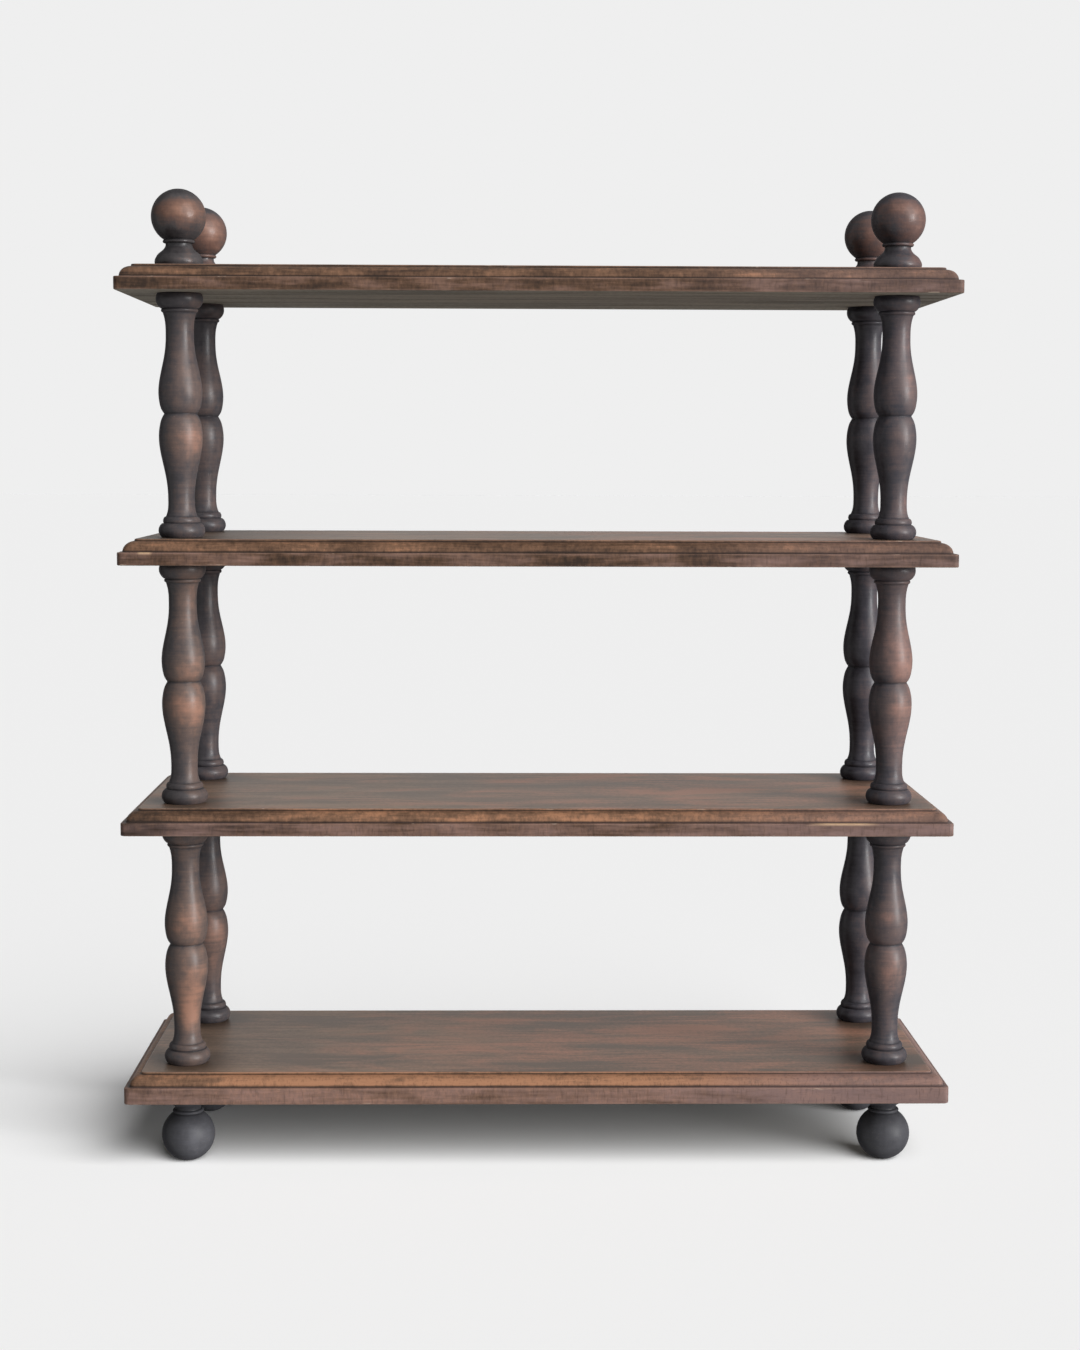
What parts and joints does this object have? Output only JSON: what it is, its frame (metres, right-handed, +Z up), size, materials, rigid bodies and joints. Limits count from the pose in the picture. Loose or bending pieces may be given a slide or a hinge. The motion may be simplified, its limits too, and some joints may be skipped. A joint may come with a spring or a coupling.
{
  "type": "open shelf",
  "caption": "Free-standing open shelf of dark stained wood: moulded boards stacked on turned posts, with ball feet and ball finials.",
  "frame": {"origin": "on the floor, below the middle of the boards", "axes": "+Z up, +X to the right as seen from the front, front facing -Y"},
  "size_m": [0.9, 0.32, 1.0662],
  "materials": {
    "board_wood": "dark walnut stain under thin satin lacquer, rubbed through to reddish brown along the mouldings",
    "turned_wood": "near black walnut stain under satin lacquer, rubbed reddish brown on the swells",
    "foot_wood": "charcoal black stain, dull satin",
    "fastener_steel": "zinc plated"
  },
  "bodies": {
    "root": {"shelf_bottom": "board_wood", "shelf_lower": "board_wood", "shelf_upper": "board_wood", "shelf_top": "board_wood", "spindle_low_front_left": "turned_wood", "spindle_low_front_right": "turned_wood", "spindle_low_rear_left": "turned_wood", "spindle_low_rear_right": "turned_wood", "spindle_mid_front_left": "turned_wood", "spindle_mid_front_right": "turned_wood", "spindle_mid_rear_left": "turned_wood", "spindle_mid_rear_right": "turned_wood", "spindle_high_front_left": "turned_wood", "spindle_high_front_right": "turned_wood", "spindle_high_rear_left": "turned_wood", "spindle_high_rear_right": "turned_wood", "finial_front_left": "turned_wood", "finial_front_right": "turned_wood", "finial_rear_left": "turned_wood", "finial_rear_right": "turned_wood", "foot_front_left": "foot_wood", "foot_front_right": "foot_wood", "foot_rear_left": "foot_wood", "foot_rear_right": "foot_wood", "studs_bottom": "fastener_steel", "inserts_bottom": "fastener_steel", "studs_lower": "fastener_steel", "inserts_lower": "fastener_steel", "studs_upper": "fastener_steel", "inserts_upper": "fastener_steel", "studs_top": "fastener_steel", "inserts_top": "fastener_steel"}
  },
  "joints": []
}
